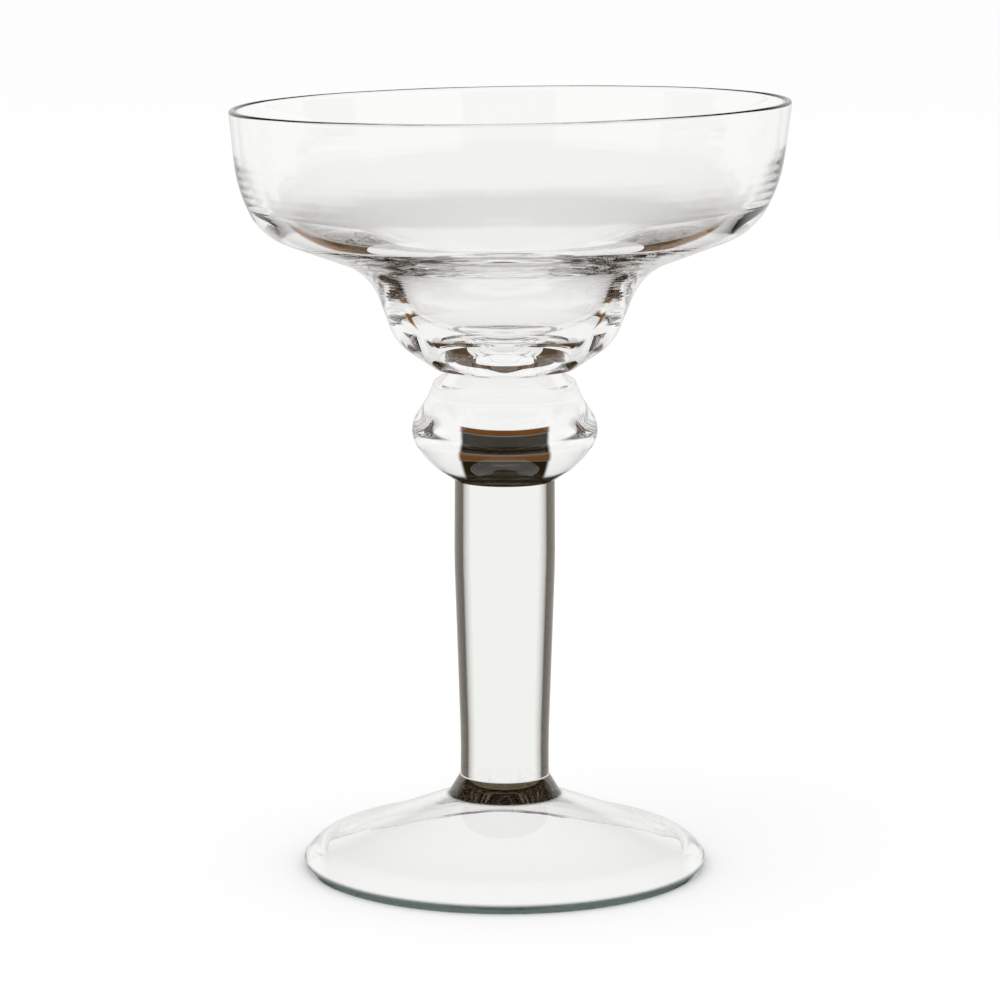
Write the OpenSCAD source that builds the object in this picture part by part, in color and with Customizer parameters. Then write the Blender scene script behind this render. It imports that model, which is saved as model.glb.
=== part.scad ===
// Hand-blown margarita glass: a wide saucer over a small cup, a solid ball
// knop, a drawn rod stem and a hollow cone foot. The four pieces of glass are
// gathered separately and joined hot, end face to end face, on one axis.
// Millimetres. Z is up, and the origin is the centre of the resting ring.

/* [Foot] */
// Diameter of the foot at the widest part of its edge
foot_d = 89.8; // [76:0.1:104]
// Height of the widest part of the edge above the table
edge_h = 1.8; // [1:0.1:4]
// Distance from the widest part of the edge in to the resting ring
ring_step = 1.2; // [0.4:0.1:3]
// Width of the flat ring that the glass rests on
ring_w = 0.4; // [0.2:0.1:3]
// Distance that the edge comes in as it rounds over onto the brim
lip_step = 3; // [1.5:0.1:5]
// Height that the edge rises as it rounds over
lip_rise = 3.5; // [2.5:0.1:5]
// Width of the flat brim, from the edge to the cone
brim_w = 8.9; // [5:0.1:14]
// Height that the brim rises
brim_rise = 2.6; // [1:0.1:4]
// Height that the cone rises
cone_rise = 8.1; // [5:0.1:14]
// Diameter where the cone meets the collar under the stem
collar_d = 25; // [22:0.1:34]
// Height of the collar, from the cone to the stem
collar_rise = 4.5; // [2.5:0.1:9]
// Thickness of the wall of the brim and the cone
foot_wall = 1.5; // [1:0.1:2.6]
// Diameter of the roof of the hollow
roof_d = 11.4; // [6:0.1:18]

/* [Stem] */
// Length of the rod, joint to joint
stem_l = 66; // [45:0.5:95]
// Diameter of the rod at its lower joint
stem_foot_d = 19.6; // [15:0.1:21]
// Length from the lower joint to the drawn waist of the rod
stem_low_l = 8; // [5:0.5:15]
// Diameter of the drawn waist of the rod
stem_waist_d = 19.5; // [14:0.1:20]
// Diameter of the swell of the rod
stem_swell_d = 22.2; // [17:0.1:25]
// Length from the swell to the upper joint
stem_high_l = 18; // [8:0.5:30]
// Diameter of the rod at its upper joint
stem_top_d = 22; // [17:0.1:24]

/* [Knop] */
// Diameter where the underside has turned out from the stem
knop_under_d = 33.4; // [28:0.1:37]
// Height from the stem to that turn
knop_under_rise = 3.9; // [2:0.1:6]
// Diameter of the ball, measured to the crossing of its slopes
knop_d = 43.2; // [38:0.1:50]
// Height from the turn of the underside to that widest crossing
knop_belly_rise = 7; // [5:0.1:10]
// Diameter where the ball's upper slope turns into the neck
neck_d = 34; // [32:0.1:37]
// Height from the widest crossing to the neck
neck_rise = 7.3; // [5:0.1:11]
// Height of the neck, up to the groove of the waist
neck_l = 3.8; // [2:0.1:6]

/* [Waist] */
// Diameter of the joint between knop and bowl, at the bottom of the groove
waist_d = 24.8; // [20:0.1:29]
// Diameter of the two edges of the groove
groove_d = 31; // [28:0.1:33]
// Depth of the groove below the joint
groove_below = 1.9; // [0.6:0.1:3]
// Height of the groove above the joint
groove_above = 0.9; // [0.6:0.1:2]

/* [Bowl] */
// Height of the bowl, from the joint on the knop to the top of the rim
bowl_h = 58.3; // [50:0.1:70]
// Diameter of the heel of the cup
heel_d = 48; // [40:0.1:54]
// Height from the groove of the waist to the heel
heel_rise = 5.8; // [3:0.1:9]
// Diameter of the throat, where the cup opens into the saucer
throat_d = 59.4; // [55:0.1:72]
// Height from the heel to the throat
throat_rise = 15.3; // [10:0.1:20]
// Diameter of the shoulder, where the saucer's floor turns up
shoulder_d = 107.2; // [92:0.1:112]
// Height from the throat to the shoulder
shoulder_rise = 8.9; // [5:0.1:14]
// Diameter where the shoulder straightens into the side wall
side_d = 117.6; // [113:0.1:119]
// Height from the shoulder to the straight side wall
side_rise = 10.2; // [6:0.1:15]
// Diameter of the mouth, outside the rim
rim_d = 121.2; // [119:0.1:135]
// How much thicker the fire-polished rim is than the side wall
rim_swell = 0.4; // [0:0.1:2]
// Thickness of the side wall
side_wall = 1.4; // [1:0.1:2]
// Thickness of the saucer's floor at the shoulder
floor_wall_out = 1.9; // [1.4:0.1:3]
// Thickness of the saucer's floor at the throat
floor_wall_in = 3.3; // [2:0.1:5]
// Thickness of the cup's wall at the throat
cup_wall_high = 4.4; // [3:0.1:6]
// Thickness of the cup's wall at the heel
cup_wall_low = 5.4; // [3:0.1:7]
// Glass between the joint and the bottom of the cup, on the axis
cup_floor = 3.6; // [2:0.1:8]
// Slope of the dished bottom of the cup, in degrees
well_slope = 13.5; // [2:0.5:20]

/* [Rounding] */
// Radius of the foot's outer edge
edge_round = 1.1; // [0.4:0.1:2.4]
// Radius of the rounding over of the foot's edge
lip_round = 8; // [3:0.5:14]
// Radius where the brim eases into the cone
cone_round = 50; // [10:1:80]
// Radius where the cone meets the collar
collar_round = 1.1; // [0.5:0.1:6]
// Radius inside the hollow's roof
roof_round = 4.6; // [1:0.1:10]
// Radius inside the foot's edge
turn_round = 3.1; // [0.5:0.1:6]
// Radius of the rod's slow curves
stem_round = 120; // [40:5:300]
// Radius of the knop's underside
knop_under_round = 18; // [4:0.5:20]
// Radius of the ball's belly
knop_round = 6.4; // [3:0.1:10]
// Radius of the neck's hollow
neck_round = 3.5; // [2:0.1:8]
// Radius of the edges of the waist's groove
groove_round = 0.5; // [0.2:0.1:1]
// Radius of the cup's heel
heel_round = 11; // [6:0.5:30]
// Radius inside the bottom of the cup
well_round = 17.5; // [4:0.5:20]
// Radius of the throat outside, under the saucer
throat_round = 14; // [3:0.5:16]
// Radius of the throat inside
throat_inside_round = 18.5; // [4:0.5:24]
// Radius of the shoulder
shoulder_round = 14; // [6:0.5:24]
// Radius where the shoulder straightens
side_round = 30; // [10:1:60]

/* [Hidden] */
$fn = 96;
// Largest turn of one facet along a rounded corner, in degrees
arc_step = 7;
clear_glass = [0.86, 0.91, 0.89, 0.45];

// Heights of the foot and the knop, joint to joint
foot_h = edge_h + lip_rise + brim_rise + cone_rise + collar_rise;
knop_h = knop_under_rise + knop_belly_rise + neck_rise + neck_l + groove_below;

// Heights of the three joints above the table
stem_z = foot_h;
knop_z = stem_z + stem_l;
bowl_z = knop_z + knop_h;

// A corner of a turned outline: its radius from the axis, its height and how
// far the corner is rounded.
function corner(d, h, round = 0) = [d / 2, h, round];
function point(c) = [c[0], c[1]];
function unit(v) = v / norm(v);

// The points of one rounded corner, as an arc tangent to both its legs. The
// arc is limited to half of each leg, so that neighbours never overlap.
function arc_points(before, at, after) =
    let (
        u = unit(point(before) - point(at)),
        v = unit(point(after) - point(at)),
        half = acos(max(-1, min(1, u * v))) / 2,
        leg = min(norm(point(before) - point(at)), norm(point(after) - point(at))) / 2,
        radius = min(at[2], leg * tan(half)),
        reach = radius / tan(half),
        centre = point(at) + unit(u + v) * radius / sin(half),
        start = point(at) + u * reach - centre,
        turn = 180 - 2 * half,
        way = sign(u[0] * v[1] - u[1] * v[0]),
        steps = max(2, ceil(turn / arc_step))
    )
    [for (i = [0 : steps])
        let (a = -way * turn * i / steps)
        centre + [start[0] * cos(a) - start[1] * sin(a), start[0] * sin(a) + start[1] * cos(a)]];

// An outline through a list of corners. Sharp corners stay single points.
function outline(corners) =
    [for (i = [0 : len(corners) - 1])
        let (rounded = corners[i][2] > 0 && i > 0 && i < len(corners) - 1)
        each rounded ? arc_points(corners[i - 1], corners[i], corners[i + 1]) : [point(corners[i])]];

// A line is a point and a direction. The inside of a wall is the line from one
// outer corner to the next, moved in by the wall's thickness at each of them. The
// outline runs upwards, so its inside lies to the left.
function inside(a, b, wall_a, wall_b) =
    let (
        d = unit(point(b) - point(a)),
        across = [-d[1], d[0]],
        start = point(a) + wall_a * across,
        end = point(b) + wall_b * across
    )
    [start, unit(end - start)];
function crossing(l, m) =
    let (
        gap = m[0] - l[0],
        cross_lm = l[1][0] * m[1][1] - l[1][1] * m[1][0]
    )
    l[0] + l[1] * (gap[0] * m[1][1] - gap[1] * m[1][0]) / cross_lm;

// Where two such lines meet, as a rounded corner
function inner_corner(l, m, round) =
    let (p = crossing(l, m))
    [p[0], p[1], round];

// A solid turned from an outline that starts and ends on the axis
module turned(corners) {
    rotate_extrude() polygon(outline(corners));
}

// Outer corners of the foot, from the table up to the stem
lip_h = edge_h + lip_rise;
cone_h = lip_h + brim_rise;
ring_out = corner(foot_d - 2 * ring_step, 0);
ring_in = corner(foot_d - 2 * (ring_step + ring_w), 0);
edge = corner(foot_d, edge_h, edge_round);
lip = corner(foot_d - 2 * lip_step, lip_h, lip_round);
cone = corner(foot_d - 2 * (lip_step + brim_w), cone_h, cone_round);
collar = corner(collar_d, cone_h + cone_rise, collar_round);
foot_top = corner(stem_foot_d, foot_h);

// The hollow turns in over the resting ring along the edge's own slope, follows
// the brim and the cone at one wall's distance, and ends in a level roof
turn_inside = [point(ring_in), unit(point(lip) - point(edge))];
brim_inside = inside(lip, cone, foot_wall, foot_wall);
cone_inside = inside(cone, collar, foot_wall, foot_wall);
roof = inner_corner(cone_inside, [[roof_d / 2, 0], [0, 1]], roof_round);

module foot() {
    color(clear_glass)
        turned([
            [0, roof[1], 0],
            roof,
            inner_corner(cone_inside, brim_inside, cone_round),
            inner_corner(brim_inside, turn_inside, turn_round),
            ring_in,
            ring_out,
            edge,
            lip,
            cone,
            collar,
            foot_top,
            [0, foot_h, 0],
        ]);
}

module stem() {
    color(clear_glass)
        translate([0, 0, stem_z])
            turned([
                [0, 0, 0],
                corner(stem_foot_d, 0),
                corner(stem_waist_d, stem_low_l, stem_round),
                corner(stem_swell_d, stem_l - stem_high_l, stem_round),
                corner(stem_top_d, stem_l),
                [0, stem_l, 0],
            ]);
}

// Heights of the knop's corners above the stem
belly_h = knop_under_rise + knop_belly_rise;
neck_h = belly_h + neck_rise;

module knop() {
    color(clear_glass)
        translate([0, 0, knop_z])
            turned([
                [0, 0, 0],
                corner(stem_top_d, 0),
                corner(knop_under_d, knop_under_rise, knop_under_round),
                corner(knop_d, belly_h, knop_round),
                corner(neck_d, neck_h, neck_round),
                corner(groove_d, knop_h - groove_below, groove_round),
                corner(waist_d, knop_h),
                [0, knop_h, 0],
            ]);
}

// Outer corners of the bowl, from the joint up to the mouth
heel_h = groove_above + heel_rise;
throat_h = heel_h + throat_rise;
shoulder_h = throat_h + shoulder_rise;
side_h = shoulder_h + side_rise;
heel = corner(heel_d, heel_h, heel_round);
throat = corner(throat_d, throat_h, throat_round);
shoulder = corner(shoulder_d, shoulder_h, shoulder_round);
side = corner(side_d, side_h, side_round);

// The rim is one arc from the outside of the wall round to its inside
rim_bead = side_wall + rim_swell;
bead_centre = [(rim_d - rim_bead) / 2, bowl_h - rim_bead / 2];
bead_start = -acos(side_wall / rim_bead);
bead_turn = 180 - 2 * bead_start;
bead_steps = ceil(bead_turn / (2 * arc_step));
bead = [for (i = [0 : bead_steps])
    let (a = bead_start + bead_turn * i / bead_steps)
    [bead_centre[0] + rim_bead / 2 * cos(a), bead_centre[1] + rim_bead / 2 * sin(a), 0]];

// Inside faces, from the mouth down to the dished bottom of the cup
side_inside = inside(side, bead[0], side_wall, side_wall);
shoulder_inside = inside(shoulder, side, floor_wall_out, side_wall);
floor_inside = inside(throat, shoulder, floor_wall_in, floor_wall_out);
cup_inside = inside(heel, throat, cup_wall_low, cup_wall_high);
well_line = [[0, cup_floor], [cos(well_slope), sin(well_slope)]];

module bowl() {
    color(clear_glass)
        translate([0, 0, bowl_z])
            turned([
                [0, 0, 0],
                corner(waist_d, 0),
                corner(groove_d, groove_above, groove_round),
                heel,
                throat,
                shoulder,
                side,
                each bead,
                inner_corner(side_inside, shoulder_inside, side_round),
                inner_corner(shoulder_inside, floor_inside, shoulder_round),
                inner_corner(floor_inside, cup_inside, throat_inside_round),
                inner_corner(cup_inside, well_line, well_round),
                [0, cup_floor, 0],
            ]);
}

bowl();
knop();
stem();
foot();
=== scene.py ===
"""Hand-blown margarita glass on a plain white table.

The four pieces of clear glass (bowl, knop, stem and foot) are turned surfaces with the small
waves and lean of work done by hand. They replace the CAD nodes of the same names.
"""

import math

import bpy
import numpy as np
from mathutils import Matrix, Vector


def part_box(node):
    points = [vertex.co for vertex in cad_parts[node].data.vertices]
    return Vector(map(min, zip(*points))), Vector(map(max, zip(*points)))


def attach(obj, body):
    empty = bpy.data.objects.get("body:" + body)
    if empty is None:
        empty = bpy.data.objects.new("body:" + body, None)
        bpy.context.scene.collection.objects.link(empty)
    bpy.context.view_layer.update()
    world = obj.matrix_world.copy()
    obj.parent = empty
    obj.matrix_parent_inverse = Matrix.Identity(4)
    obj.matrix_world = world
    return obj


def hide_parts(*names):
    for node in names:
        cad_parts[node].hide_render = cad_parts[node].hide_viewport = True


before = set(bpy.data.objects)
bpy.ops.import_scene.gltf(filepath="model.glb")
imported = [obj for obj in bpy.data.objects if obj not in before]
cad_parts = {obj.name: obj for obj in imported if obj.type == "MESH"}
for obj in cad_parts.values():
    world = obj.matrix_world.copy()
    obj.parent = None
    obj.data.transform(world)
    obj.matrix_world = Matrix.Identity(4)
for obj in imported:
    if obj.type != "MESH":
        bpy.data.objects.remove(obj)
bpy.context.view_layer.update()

MM = 0.001  # all sizes below are millimetres, and meshes are metres
SEGMENTS = 256  # columns of a turned surface
STEP = 0.6  # longest distance between its rings


# Outlines

def unit(v):
    return v / np.linalg.norm(v)


def inset(a, b, wall):
    """The line through two corners, moved to its left by a wall's thickness: a point and a direction."""
    d = unit(np.subtract(b[:2], a[:2]))
    return np.add(a[:2], wall * np.array([-d[1], d[0]])), d


def level(height):
    return np.array([0.0, height]), np.array([1.0, 0.0])


def crossing(l, m, radius):
    """The rounded corner where two lines cross."""
    gap = m[0] - l[0]
    p = l[0] + l[1] * (gap[0] * m[1][1] - gap[1] * m[1][0]) / (l[1][0] * m[1][1] - l[1][1] * m[1][0])
    return p[0], p[1], radius


def outline(corners):
    """Points (radius, height) along straight legs between corners, at most STEP apart.

    Each corner (radius, height, rounding) is an arc tangent to both legs, limited to half of each.
    """
    at = np.array([c[:2] for c in corners])
    path = [at[:1]]
    for i in range(1, len(at) - 1):
        to_last, to_next = at[i - 1] - at[i], at[i + 1] - at[i]
        u, v = unit(to_last), unit(to_next)
        half = math.acos(np.clip(u @ v, -1, 1)) / 2
        leg = min(np.linalg.norm(to_last), np.linalg.norm(to_next)) / 2
        radius = min(corners[i][2], leg * math.tan(half))
        if radius == 0:
            path.append(at[i : i + 1])
            continue
        centre = at[i] + unit(u + v) * radius / math.sin(half)
        first = at[i] + u * radius / math.tan(half) - centre
        turn = -np.sign(u[0] * v[1] - u[1] * v[0]) * (math.pi - 2 * half)
        a = math.atan2(first[1], first[0]) + turn * np.linspace(0, 1, 2 + int(abs(turn) / math.radians(4)))
        path.append(centre + radius * np.stack([np.cos(a), np.sin(a)], axis=1))
    path = np.concatenate([*path, at[-1:]])
    parts = np.ceil(np.linalg.norm(np.diff(path, axis=0), axis=1) / STEP).astype(int)
    start = np.repeat(np.arange(len(parts)), parts)
    share = (np.arange(len(start)) - np.repeat(np.cumsum(parts) - parts, parts)) / parts[start]
    points = path[start] + share[:, None] * (path[start + 1] - path[start])
    return np.concatenate([points, path[-1:]])


foot_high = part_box("foot")[1][2] / MM
stem_low, stem_high = (corner[2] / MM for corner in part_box("stem"))
knop_low, knop_high = (corner[2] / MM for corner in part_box("knop"))
bowl_low, bowl_high = (corner[2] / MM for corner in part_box("bowl"))

FOOT_JOINT, KNOP_JOINT, WAIST = 9.8, 11, 12.4  # radii of the fused joints, from the table up
ROOF = 17.1  # height of the hollow under the foot
BRIM_WALL, CONE_WALL = 1.6, 1.3
ring_in, ring_out = (43.3, 0, 0), (43.7, 0, 0)
edge, lip, cone, collar = (44.9, 1.8, 1.1), (41.9, 5.3, 8), (33, 7.9, 56), (12.5, 16.0, 1.1)
brim_inside, cone_inside = inset(lip, cone, BRIM_WALL), inset(cone, collar, CONE_WALL)
turn_inside = np.array(ring_in[:2]), unit(np.subtract(lip[:2], edge[:2]))
FOOT = [
    (0, ROOF, 0),
    crossing(cone_inside, level(ROOF), 4.6),
    crossing(brim_inside, cone_inside, 35),
    crossing(brim_inside, turn_inside, 3.1),
    ring_in,
    ring_out,
    edge,
    lip,
    cone,
    collar,
    (FOOT_JOINT, foot_high, 0),
    (0, foot_high, 0),
]
STEM = [
    (0, stem_low, 0),
    (FOOT_JOINT, stem_low, 0),
    (9.75, stem_low + 8, 120),
    (11.1, stem_low + 48, 120),
    (KNOP_JOINT, stem_high, 0),
    (0, stem_high, 0),
]
KNOP = [
    (0, knop_low, 0),
    (KNOP_JOINT, knop_low, 0),
    (16.7, knop_low + 3.85, 17.9),
    (21.6, knop_low + 10.85, 11.4),
    (17.0, knop_low + 18.2, 3.5),
    (15.45, knop_low + 21.95, 0.5),
    (WAIST, knop_high, 0),
    (0, knop_high, 0),
]
WELL = 3.6  # glass under the middle of the cup
THROAT_WALL, FLOOR_WALL, SHOULDER_WALL = 3.3, 1.85, 1.9
RIM_R, RIM_BEAD = 59.9, 0.7  # middle of the rim, and half its wall
SIDE_WALL = 2 * RIM_BEAD
heel, throat = (24, bowl_low + 6.7, 11), (29.7, bowl_low + 22, 14)
shoulder, side = (53.6, bowl_low + 30.9, 14), (58.8, bowl_low + 41.1, 40)
rim = [
    (RIM_R + RIM_BEAD * math.cos(a), bowl_high - RIM_BEAD + RIM_BEAD * math.sin(a), 0)
    for a in np.radians(np.linspace(0, 180, 30))
]
cup_inside = np.array([19.8, bowl_low + 10.6]), unit(np.array([4.95, 11.0]))
floor_start, floor_end = inset(throat, shoulder, THROAT_WALL)[0], inset(shoulder, throat, -FLOOR_WALL)[0]
floor_inside = floor_start, unit(floor_end - floor_start)
well_dip = np.array([0, bowl_low + WELL]), unit(np.array([10, 2.4]))
shoulder_inside, side_inside = inset(shoulder, side, SHOULDER_WALL), inset(side, rim[0], SIDE_WALL)
BOWL = [
    (0, bowl_low, 0),
    (WAIST, bowl_low, 0),
    (15.6, bowl_low + 0.85, 0.5),
    heel,
    throat,
    shoulder,
    side,
    *rim,
    crossing(side_inside, shoulder_inside, 40),
    crossing(shoulder_inside, floor_inside, 14),
    crossing(floor_inside, cup_inside, 18.5),
    crossing(cup_inside, well_dip, 17.5),
    (0, bowl_low + WELL, 0),
]


# Turned surfaces

def smooth(x):
    """Rises from 0 to 1 with level ends."""
    x = np.clip(x, 0, 1)
    return x * x * (3 - 2 * x)


LEAN = 1.1  # how far the mouth stands to the side
TILT = 0.018  # rise of the mouth per mm across
OVAL = 0.003  # share by which the mouth is wider in X and narrower in Y


def strayed(p):
    """Points moved as the glass strays from its axis.

    The bowl leans, and its mouth tilts and is out of round, more and more from its joint to its rim.
    """
    x, y, z = p.T
    rise = smooth((z - bowl_low) / (bowl_high - bowl_low))
    return np.stack([
        x * (1 + OVAL * rise) + LEAN * rise,
        y * (1 - OVAL * rise),
        z + rise * TILT * x,
    ], axis=1)


def turned(name, corners, joints, wave, materials):
    """A closed piece of glass: the outline turned about Z, point (r cos a, r sin a, z).

    Its surface is moved along its normal by waves, a sum of sines of the angle a and the length s
    along the outline. They fade out towards the axis and within 4 mm of the joints, which are the
    level faces at the given heights.
    The attribute "outward" is the share of the normal that points away from the axis.
    """
    r, z = outline(corners).T
    on_joint = np.isclose(z[:, None], joints).any(axis=1)
    along = np.concatenate([[0], np.cumsum(np.hypot(np.diff(r), np.diff(z)))])
    from_joint = np.min(np.where(on_joint[None, :], np.abs(along[:, None] - along), 1e9), axis=1)
    fade = smooth(from_joint / 4) * smooth((r - 8) / 40)
    dr, dz = np.gradient(r, along), np.gradient(z, along)
    a = np.arange(SEGMENTS) * 2 * math.pi / SEGMENTS
    s = along[:, None]
    waves = (
        np.sin(s / 2.7 + 1.3 * np.sin(3 * a + s / 19))
        + 0.8 * np.sin(s / 4.9 - 2 * a + 0.9 * np.sin(2 * a))
        + 0.6 * np.sin(7 * a + s / 11)
        + 0.5 * np.sin(13 * a - s / 6)
    )
    off = wave * fade[:, None] * waves
    radius = r[:, None] + off * dz[:, None]
    height = z[:, None] - off * dr[:, None]
    grid = np.stack([radius * np.cos(a), radius * np.sin(a), height], axis=2)
    points = np.concatenate([grid[1:-1].reshape(-1, 3), grid[0, :1], grid[-1, :1]])
    rings = len(r) - 2
    here = np.arange(SEGMENTS)
    right = (here + 1) % SEGMENTS
    row = np.arange(rings - 1)[:, None] * SEGMENTS
    quads = np.stack([row + here, row + right, row + SEGMENTS + right, row + SEGMENTS + here], axis=2)
    first, last = rings * SEGMENTS, rings * SEGMENTS + 1
    top = (rings - 1) * SEGMENTS
    fan_in = np.stack([np.full(SEGMENTS, first), right, here], axis=1)
    fan_out = np.stack([top + here, top + right, np.full(SEGMENTS, last)], axis=1)
    sides = [fan_in, quads.reshape(-1, 4), fan_out]
    flat = on_joint[1:] & on_joint[:-1]
    mesh = bpy.data.meshes.new(name)
    mesh.vertices.add(len(points))
    mesh.vertices.foreach_set("co", (strayed(points) * MM).ravel())
    mesh.loops.add(sum(f.size for f in sides))
    mesh.loops.foreach_set("vertex_index", np.concatenate([f.ravel() for f in sides]))
    totals = np.concatenate([np.full(len(f), f.shape[1]) for f in sides])
    mesh.polygons.add(len(totals))
    mesh.polygons.foreach_set("loop_start", np.cumsum(totals) - totals)
    mesh.polygons.foreach_set("material_index", np.repeat(flat, SEGMENTS).astype(int))
    mesh.update(calc_edges=True)
    mesh.polygons.foreach_set("use_smooth", np.ones(len(totals), bool))
    mesh.set_sharp_from_angle(angle=math.radians(25))
    for material in materials:
        mesh.materials.append(material)
    outward = mesh.attributes.new("outward", "FLOAT", "POINT")
    outward.data.foreach_set("value", np.concatenate([np.repeat(dz[1:-1], SEGMENTS), dz[[0, -1]]]))
    mesh.validate()
    piece = bpy.data.objects.new(name, mesh)
    bpy.context.scene.collection.objects.link(piece)
    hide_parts(name.split("_")[0])
    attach(piece, "root")


# Materials

def linear(code):
    """A linear RGBA colour from an sRGB hex code."""
    c = np.array([int(code[i : i + 2], 16) for i in (1, 3, 5)]) / 255
    return (*np.where(c <= 0.04045, c / 12.92, ((c + 0.055) / 1.055) ** 2.4), 1.0)


def add(tree, kind, inputs=(), **settings):
    """Adds a node with its settings.

    An input is a value or another node's output, by socket name or number.
    """
    node = tree.nodes.new("ShaderNode" + kind)
    for key, value in settings.items():
        setattr(node, key, value)
    for key, value in dict(inputs).items():
        if isinstance(value, bpy.types.NodeSocket):
            tree.links.new(value, node.inputs[key])
        else:
            node.inputs[key].default_value = value
    return node


def ramp(tree, factor, *stops):
    """A colour ramp through (place, hex code) stops."""
    node = add(tree, "ValToRGB", {"Fac": factor})
    for i, (place, code) in enumerate(stops):
        stop = node.color_ramp.elements[i] if i < 2 else node.color_ramp.elements.new(place)
        stop.position, stop.color = place, linear(code)
    return node.outputs["Color"]


def blank(name):
    """A new material and its empty node tree."""
    material = bpy.data.materials.new(name)
    material.use_nodes = True
    material.node_tree.nodes.clear()
    return material, material.node_tree


def entering(tree):
    """1 where light enters a piece by its outer wall, and 0 where it leaves or on an inner wall."""
    outward = add(tree, "Attribute", attribute_name="outward").outputs["Fac"]
    outside = add(tree, "MapRange", {"Value": outward, "From Min": 0.02, "From Max": 0.1}).outputs[0]
    leaving = add(tree, "NewGeometry").outputs["Backfacing"]
    return add(tree, "Math", {0: outside, 1: leaving}, operation="SUBTRACT", use_clamp=True).outputs[0]


RIPPLE_LENGTH = 4  # mm between the faint waves of the skin


def blown_glass(name, dark_from, dark_to, dark, tint="#fefefe", ripple=0.004, bands=()):
    """Clear soda-lime glass with a fire-polished skin.

    The skin's faint waves, so many mm high, make reflections and refracted lines waver. Towards a
    grazing view the colour is painted darker, painted shade which draws its edges. A band is a stretch
    of the outer wall painted darker as painted shade, in place of the dark that the glass refracts
    there: heights in mm where it starts, is full, is still full and ends, and its colour. Lamps shine
    through the glass, so its shadow stays pale.
    """
    material, tree = blank(name)
    place = add(tree, "TexCoord").outputs["Object"]
    facing = add(tree, "LayerWeight", {"Blend": 0.5}).outputs["Facing"]
    # the glass tint, painted darker towards a grazing view as painted shade
    skin = ramp(tree, facing, (dark_from, tint), (dark_to, dark))
    # each band darkens the outer wall as painted shade
    for start, full, still, end, colour in bands:
        height = add(tree, "SeparateXYZ", {0: place}).outputs["Z"]
        mask = entering(tree)
        for low, high in ((start, full), (end, still)):
            slope = add(tree, "MapRange", {
                "Value": height, "From Min": low * MM, "From Max": high * MM,
            }, interpolation_type="SMOOTHSTEP").outputs[0]
            mask = add(tree, "Math", {0: mask, 1: slope}, operation="MULTIPLY").outputs[0]
        skin = add(tree, "Mix", {
            0: mask, 6: skin, 7: linear(colour),
        }, data_type="RGBA", blend_type="MULTIPLY").outputs[2]
    waves = add(tree, "TexNoise", {"Vector": place, "Scale": 1 / (RIPPLE_LENGTH * MM), "Detail": 2.0})
    bump = add(tree, "Bump", {"Height": waves.outputs[0], "Strength": 1.0, "Distance": ripple * MM})
    glass = add(tree, "BsdfPrincipled", {
        "Base Color": skin, "Roughness": 0.0, "IOR": 1.5, "Transmission Weight": 1.0,
        "Normal": bump.outputs[0],
    })
    clear = add(tree, "BsdfTransparent", {"Color": linear("#f4f7f5")})
    lamp_ray = add(tree, "LightPath").outputs["Is Shadow Ray"]
    surface = add(tree, "MixShader", {0: lamp_ray, 1: glass.outputs[0], 2: clear.outputs[0]})
    add(tree, "OutputMaterial", {"Surface": surface.outputs[0]})
    return material


def fused_joint():
    """The face where two pieces of hot glass became one: no skin is left, so light goes straight on."""
    material, tree = blank("fused_joint")
    clear = add(tree, "BsdfTransparent", {"Color": (1, 1, 1, 1)})
    add(tree, "OutputMaterial", {"Surface": clear.outputs[0]})
    return material


joint = fused_joint()
# painted shade in two bands: the thick edge, blue-green as thick glass is and darkened as painted shade,
# and the collar, nearly black as painted shade
foot_shade_bands = [
    (-1, -0.5, 1.7, 2.6, "#24302d"),
    (15.6, 16.2, 20.2, 20.5, "#1e170c"),
]
# each glass is painted darker towards a grazing view, painted shade that draws its edges; the stem's is
# nearly black
foot_glass = blown_glass("blown_glass_foot", 0.80, 1.0, "#c9c6bd", bands=foot_shade_bands)
turned("foot_glass", FOOT, [foot_high], 0.008, [foot_glass, joint])
stem_glass = blown_glass("drawn_glass_stem", 0.27, 0.46, "#171008", "#f3f4f1")
turned("stem_glass", STEM, [stem_low, stem_high], 0.0, [stem_glass, joint])
knop_glass = blown_glass("tooled_glass_knop", 0.75, 1.0, "#b8b2a6")
turned("knop_glass", KNOP, [knop_low, knop_high], 0.004, [knop_glass, joint])
bowl_glass = blown_glass("blown_glass_bowl", 0.80, 1.0, "#8a8070", ripple=0.002)
turned("bowl_glass", BOWL, [bowl_low], 0.012, [bowl_glass, joint])


# Stage

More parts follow.
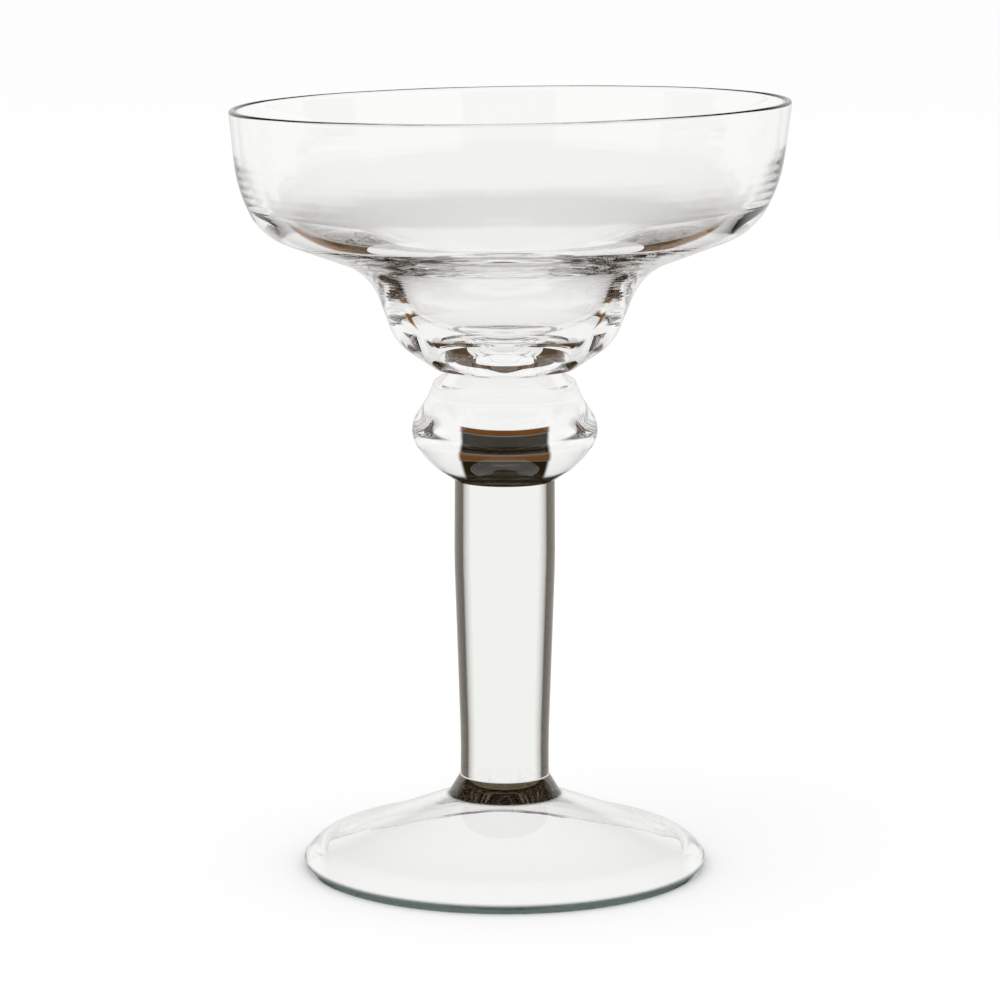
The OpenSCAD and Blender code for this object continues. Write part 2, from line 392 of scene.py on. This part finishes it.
def studio_world():
    """White all round for the camera and the table.

    What shows in the glass is a white room with brown wood low down, a brown line and a dark panel on
    four sides above the horizon, and an unlit ceiling. Directions are in degrees: the rise above the
    horizon, and the turn aside from the nearest of the four sides.
    """
    world = bpy.data.worlds.new("white_studio")
    world.use_nodes = True
    tree = world.node_tree
    tree.nodes.clear()
    way = add(tree, "SeparateXYZ", {0: add(tree, "TexCoord").outputs["Generated"]})
    rise = add(tree, "Math", {0: way.outputs["Z"]}, operation="ARCSINE").outputs[0]
    turn = add(tree, "Math", {0: way.outputs["X"], 1: way.outputs["Y"]}, operation="ARCTAN2").outputs[0]
    aside = add(tree, "Math", {0: turn, 1: math.radians(45)}, operation="PINGPONG").outputs[0]

    def band(value, low, high):
        """0 below low degrees and 1 above high degrees, or the other way round if low is above high."""
        return add(tree, "MapRange", {
            "Value": value, "From Min": math.radians(low), "From Max": math.radians(high),
        }, interpolation_type="SMOOTHSTEP").outputs[0]

    def both(one, other):
        return add(tree, "Math", {0: one, 1: other}, operation="MULTIPLY").outputs[0]

    def either(one, other):
        return add(tree, "Math", {0: one, 1: other}, operation="MAXIMUM").outputs[0]

    def painted(under, mask, over):
        return add(tree, "Mix", {0: mask, 6: under, 7: over}, data_type="RGBA").outputs[2]

    near_edge = either(both(band(aside, 9, 13), band(rise, -30, -33)), band(rise, -36, -40))
    far_edge = both(either(band(aside, 36, 32), band(rise, -33, -37)), band(rise, -70, -64))
    beside_foot = either(band(aside, 13, 20), band(rise, -60, -54))
    wood = ramp(tree, band(rise, -28, -40), (0.0, "#b07a44"), (1.0, "#54412a"))
    seen = painted(linear("#fdfdfc"), both(both(near_edge, far_edge), beside_foot), wood)
    ceiling = ramp(tree, band(rise, 30, 45), (0.0, "#201b0e"), (1.0, "#5a4020"))
    seen = painted(seen, band(rise, 14, 18), ceiling)
    horizon = both(band(aside, 22, 19.5), both(band(rise, 3.6, 4.2), band(rise, 7.5, 6.5)))
    seen = painted(seen, horizon, linear("#6b4420"))
    panel = both(band(aside, 21.5, 19), band(rise, 6, 7.5))
    seen = painted(seen, panel, linear("#201b0e"))
    path = add(tree, "LightPath")
    refracted, reflected = path.outputs["Is Transmission Ray"], path.outputs["Is Glossy Ray"]
    mirrored = painted(linear("#e6e6e4"), band(rise, 14, 24), linear("#4a4844"))
    mirrored = painted(mirrored, band(rise, -20, -28), linear("#33240f"))
    colour = painted((1, 1, 1, 1), reflected, mirrored)
    colour = painted(colour, refracted, seen)
    light = add(tree, "Background", {"Color": colour, "Strength": 1.0})
    add(tree, "OutputWorld", {"Surface": light.outputs[0]})
    bpy.context.scene.world = world


def white_table():
    """A matt white table. It isn't seen through the glass, where the world's white stands for it."""
    material, tree = blank("matt_white_table")
    matt = add(tree, "BsdfDiffuse", {"Color": (0.98, 0.98, 0.98, 1.0)})
    add(tree, "OutputMaterial", {"Surface": matt.outputs[0]})
    mesh = bpy.data.meshes.new("table")
    mesh.from_pydata([(-20, -20, 0), (20, -20, 0), (20, 20, 0), (-20, 20, 0)], [], [(0, 1, 2, 3)])
    mesh.materials.append(material)
    table = bpy.data.objects.new("table", mesh)
    table.visible_transmission = table.visible_glossy = False
    bpy.context.scene.collection.objects.link(table)


CARD_SIDES = 96


def white_card(name, inner, outer, height, seen_from):
    """A level white ring round the glass: two circles, at a height in metres, and the faces between.

    It glows white by itself, a light that stands for the bright table and tent near by. Only what the
    glass refracts shows it, and only from one side, above (1) or below (-1).
    """
    # the card's material glows as an emitter; it is not a matt surface lit by the lamps
    material, tree = blank("matt_" + name)
    shine = add(tree, "Emission", {"Color": linear("#fafaf9"), "Strength": 1.0})
    clear = add(tree, "BsdfTransparent", {"Color": (1, 1, 1, 1)})
    behind = add(tree, "NewGeometry").outputs["Backfacing"]
    one_sided = add(tree, "MixShader", {0: behind, 1: shine.outputs[0], 2: clear.outputs[0]})
    add(tree, "OutputMaterial", {"Surface": one_sided.outputs[0]})
    here = np.arange(CARD_SIDES)
    turn = seen_from * here * 2 * math.pi / CARD_SIDES
    ring = np.stack([np.cos(turn), np.sin(turn), np.full(CARD_SIDES, height)], axis=1)
    points = np.concatenate([ring * (inner, inner, 1), ring * (outer, outer, 1)])
    right = (here + 1) % CARD_SIDES
    faces = np.stack([here, CARD_SIDES + here, CARD_SIDES + right, right], axis=1)
    mesh = bpy.data.meshes.new(name)
    mesh.from_pydata(points.tolist(), [], faces.tolist())
    mesh.materials.append(material)
    card = bpy.data.objects.new(name, mesh)
    card.visible_camera = card.visible_diffuse = card.visible_shadow = card.visible_glossy = False
    bpy.context.scene.collection.objects.link(card)


def softbox(name, place, target, size, power):
    """A square soft lamp that looks at a point."""
    data = bpy.data.lights.new(name, "AREA")
    data.size, data.energy = size, power
    lamp = bpy.data.objects.new(name, data)
    lamp.location = place
    lamp.visible_glossy = lamp.visible_transmission = False
    away = np.subtract(place, target)
    lamp.rotation_euler = (
        math.atan2(math.hypot(away[0], away[1]), away[2]), 0, math.atan2(away[0], -away[1]),
    )
    bpy.context.scene.collection.objects.link(lamp)


def camera():
    """Stands 0.86 m off and looks 9.6 degrees down, with a long lens."""
    data = bpy.data.cameras.new("camera")
    data.sensor_width, data.lens = 36.0, 143.47
    view = bpy.data.objects.new("camera", data)
    view.location = (0, -0.8632, 0.2273)
    view.rotation_euler = (math.radians(90 - 9.567), 0, math.radians(0.07))
    bpy.context.scene.collection.objects.link(view)
    bpy.context.scene.camera = view


studio_world()
white_table()
white_card("white_card_base", 0.0005, 0.06, -0.0005, 1)
white_card("white_card_low", 0.0135, 2.0, 0.026, -1)
white_card("white_card_high", 0.018, 0.048, 0.09, 1)
softbox("key_light", (-0.7, -0.7, 1.3), (0, 0, 0.08), 0.7, 4)
camera()
bpy.context.scene.view_settings.view_transform = "Standard"
cycles = bpy.context.scene.cycles
for bounces in ("max_bounces", "transmission_bounces", "glossy_bounces", "transparent_max_bounces"):
    setattr(cycles, bounces, 32)
